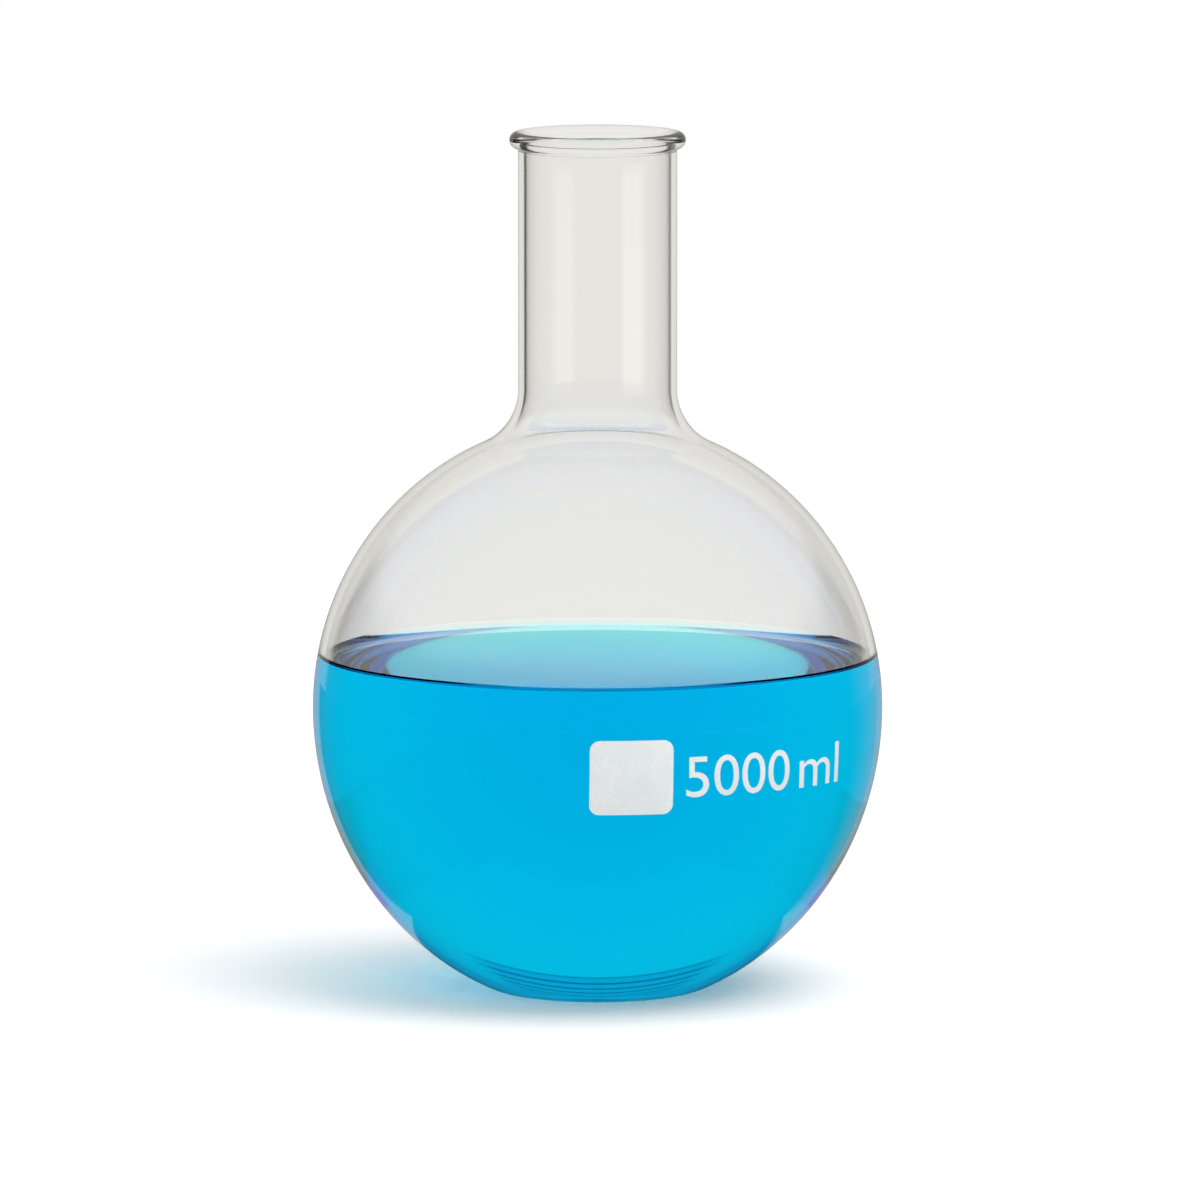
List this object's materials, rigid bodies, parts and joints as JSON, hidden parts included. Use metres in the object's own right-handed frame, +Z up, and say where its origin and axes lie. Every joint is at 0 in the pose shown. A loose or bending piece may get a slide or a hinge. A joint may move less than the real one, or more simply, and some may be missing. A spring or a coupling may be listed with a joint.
{
  "type": "flat bottom flask",
  "caption": "Round blown glass flask with a flat base, long straight neck and beaded rim, partly filled with clear blue liquid, with a white write-on panel on its bulb.",
  "frame": {"origin": "on the axis of the flask, in the plane of the ring that it stands on", "axes": "+Z up along the neck's axis, -Y towards the marking panel, +X to the right when the panel faces the viewer"},
  "size_m": [0.223, 0.2232, 0.337],
  "materials": {
    "clear_glass": "fire polished, smooth and glossy",
    "blue_water": "clear coloured liquid with a smooth surface",
    "white_enamel": "matt fired enamel"
  },
  "bodies": {
    "root": {"flask": "clear_glass", "blue_liquid": "blue_water", "marking_panel": "white_enamel"}
  },
  "joints": []
}
